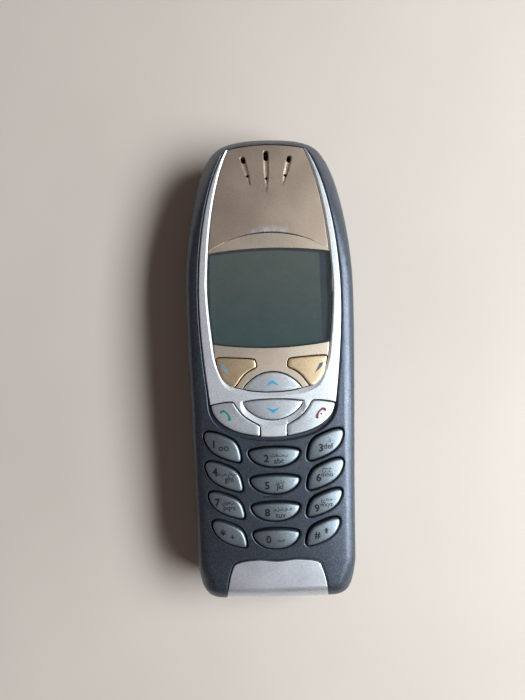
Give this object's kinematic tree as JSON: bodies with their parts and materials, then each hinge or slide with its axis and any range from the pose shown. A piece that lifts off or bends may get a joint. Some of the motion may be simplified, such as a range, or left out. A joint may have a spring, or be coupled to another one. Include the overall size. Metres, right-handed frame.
{
  "type": "candy-bar mobile phone",
  "caption": "Slim pocket mobile phone with a small display, crescent keys in a silver surround, a sliding battery cover and pressing keys.",
  "frame": {"origin": "under the middle of the phone, on the plane of its back face", "axes": "+X to the phone's right, +Y to its top end, +Z out through the display"},
  "size_m": [0.047, 0.129, 0.0217],
  "materials": {
    "cover": "metallic paint, satin",
    "cover_dark": "fine grain",
    "silver": "silver lacquer, satin",
    "gold": "champagne lacquer, satin",
    "lens": "clear, hard coated",
    "key_metallic": "metallic lacquer",
    "mat_rubber": "matte",
    "dome_steel": "foil",
    "board": "solder resist",
    "tin_steel": "tin plated",
    "display": "liquid crystal glass",
    "white_plastic": "moulded",
    "black_foam": "foam",
    "black_plastic": "moulded",
    "weight_metal": "sintered",
    "gold_contact": "gold plated",
    "battery_can": "wrapped can"
  },
  "bodies": {
    "handset": {"front_cover": "cover", "rear_frame": "cover_dark", "silver_bezel": "silver", "gold_fascia": "gold", "display_lens": "lens", "lens_adhesive": "black_foam", "bottom_plate": "silver", "keypad_mat": "mat_rubber", "dome_sheet": "dome_steel", "main_board": "board", "upper_shield": "tin_steel", "lower_shield": "tin_steel", "display_module": "display", "light_guide": "white_plastic", "dust_gasket": "black_foam", "earpiece": "tin_steel", "earpiece_gasket": "black_foam", "buzzer": "black_plastic", "vibration_motor": "tin_steel", "antenna_carrier": "white_plastic", "antenna_element": "gold_contact", "backup_cell": "tin_steel", "battery": "battery_can", "battery_contacts": "gold_contact", "sim_cage": "tin_steel", "sim_contacts": "gold_contact", "system_connector": "black_plastic", "charger_socket": "black_plastic", "microphone": "tin_steel", "microphone_boot": "mat_rubber", "case_screws": "tin_steel"},
    "soft_key_left": {"soft_key_left": "gold"},
    "soft_key_right": {"soft_key_right": "gold"},
    "scroll_up_key": {"scroll_up_key": "key_metallic"},
    "scroll_down_key": {"scroll_down_key": "key_metallic"},
    "call_key": {"call_key": "key_metallic"},
    "end_key": {"end_key": "key_metallic"},
    "key_1": {"key_1": "key_metallic"},
    "key_2": {"key_2": "key_metallic"},
    "key_3": {"key_3": "key_metallic"},
    "key_4": {"key_4": "key_metallic"},
    "key_5": {"key_5": "key_metallic"},
    "key_6": {"key_6": "key_metallic"},
    "key_7": {"key_7": "key_metallic"},
    "key_8": {"key_8": "key_metallic"},
    "key_9": {"key_9": "key_metallic"},
    "key_star": {"key_star": "key_metallic"},
    "key_0": {"key_0": "key_metallic"},
    "key_hash": {"key_hash": "key_metallic"},
    "volume_rocker": {"volume_rocker": "cover_dark"},
    "battery_cover": {"battery_cover": "cover_dark"},
    "sim_card": {"sim_card": "white_plastic"},
    "vibration_weight": {"vibration_weight": "weight_metal"}
  },
  "joints": [
    {"name": "soft_key_left_press", "type": "slide", "parent": "handset", "child": "soft_key_left", "axis": [0, 0, -1], "range_m": [0, 0.0004], "stiffness_N_per_m": 1500, "springref_m": -0.0001},
    {"name": "soft_key_right_press", "type": "slide", "parent": "handset", "child": "soft_key_right", "axis": [0, 0, -1], "range_m": [0, 0.0004], "stiffness_N_per_m": 1500, "springref_m": -0.0001},
    {"name": "scroll_up_key_press", "type": "slide", "parent": "handset", "child": "scroll_up_key", "axis": [0, 0, -1], "range_m": [0, 0.0004], "stiffness_N_per_m": 1500, "springref_m": -0.0001},
    {"name": "scroll_down_key_press", "type": "slide", "parent": "handset", "child": "scroll_down_key", "axis": [0, 0, -1], "range_m": [0, 0.0004], "stiffness_N_per_m": 1500, "springref_m": -0.0001},
    {"name": "call_key_press", "type": "slide", "parent": "handset", "child": "call_key", "axis": [0, 0, -1], "range_m": [0, 0.0004], "stiffness_N_per_m": 1500, "springref_m": -0.0001},
    {"name": "end_key_press", "type": "slide", "parent": "handset", "child": "end_key", "axis": [0, 0, -1], "range_m": [0, 0.0004], "stiffness_N_per_m": 1500, "springref_m": -0.0001},
    {"name": "key_1_press", "type": "slide", "parent": "handset", "child": "key_1", "axis": [0, 0, -1], "range_m": [0, 0.0004], "stiffness_N_per_m": 1500, "springref_m": -0.0001},
    {"name": "key_2_press", "type": "slide", "parent": "handset", "child": "key_2", "axis": [0, 0, -1], "range_m": [0, 0.0004], "stiffness_N_per_m": 1500, "springref_m": -0.0001},
    {"name": "key_3_press", "type": "slide", "parent": "handset", "child": "key_3", "axis": [0, 0, -1], "range_m": [0, 0.0004], "stiffness_N_per_m": 1500, "springref_m": -0.0001},
    {"name": "key_4_press", "type": "slide", "parent": "handset", "child": "key_4", "axis": [0, 0, -1], "range_m": [0, 0.0004], "stiffness_N_per_m": 1500, "springref_m": -0.0001},
    {"name": "key_5_press", "type": "slide", "parent": "handset", "child": "key_5", "axis": [0, 0, -1], "range_m": [0, 0.0004], "stiffness_N_per_m": 1500, "springref_m": -0.0001},
    {"name": "key_6_press", "type": "slide", "parent": "handset", "child": "key_6", "axis": [0, 0, -1], "range_m": [0, 0.0004], "stiffness_N_per_m": 1500, "springref_m": -0.0001},
    {"name": "key_7_press", "type": "slide", "parent": "handset", "child": "key_7", "axis": [0, 0, -1], "range_m": [0, 0.0004], "stiffness_N_per_m": 1500, "springref_m": -0.0001},
    {"name": "key_8_press", "type": "slide", "parent": "handset", "child": "key_8", "axis": [0, 0, -1], "range_m": [0, 0.0004], "stiffness_N_per_m": 1500, "springref_m": -0.0001},
    {"name": "key_9_press", "type": "slide", "parent": "handset", "child": "key_9", "axis": [0, 0, -1], "range_m": [0, 0.0004], "stiffness_N_per_m": 1500, "springref_m": -0.0001},
    {"name": "key_star_press", "type": "slide", "parent": "handset", "child": "key_star", "axis": [0, 0, -1], "range_m": [0, 0.0004], "stiffness_N_per_m": 1500, "springref_m": -0.0001},
    {"name": "key_0_press", "type": "slide", "parent": "handset", "child": "key_0", "axis": [0, 0, -1], "range_m": [0, 0.0004], "stiffness_N_per_m": 1500, "springref_m": -0.0001},
    {"name": "key_hash_press", "type": "slide", "parent": "handset", "child": "key_hash", "axis": [0, 0, -1], "range_m": [0, 0.0004], "stiffness_N_per_m": 1500, "springref_m": -0.0001},
    {"name": "volume_rock", "type": "hinge", "parent": "handset", "child": "volume_rocker", "pos_m": [-0.0212, 0.028, 0.0067], "axis": [0, 0, 1], "range_deg": [-2.2, 2.2], "stiffness_Nm_per_rad": 0.05},
    {"name": "battery_cover_slide", "type": "slide", "parent": "handset", "child": "battery_cover", "axis": [0, -1, 0], "range_m": [0, 0.012]},
    {"name": "sim_card_slide", "type": "slide", "parent": "handset", "child": "sim_card", "axis": [0, -1, 0], "range_m": [0, 0.012]},
    {"name": "vibration_spin", "type": "hinge", "parent": "handset", "child": "vibration_weight", "pos_m": [0.0035, 0.026, 0.0044], "axis": [1, 0, 0], "continuous": true}
  ]
}
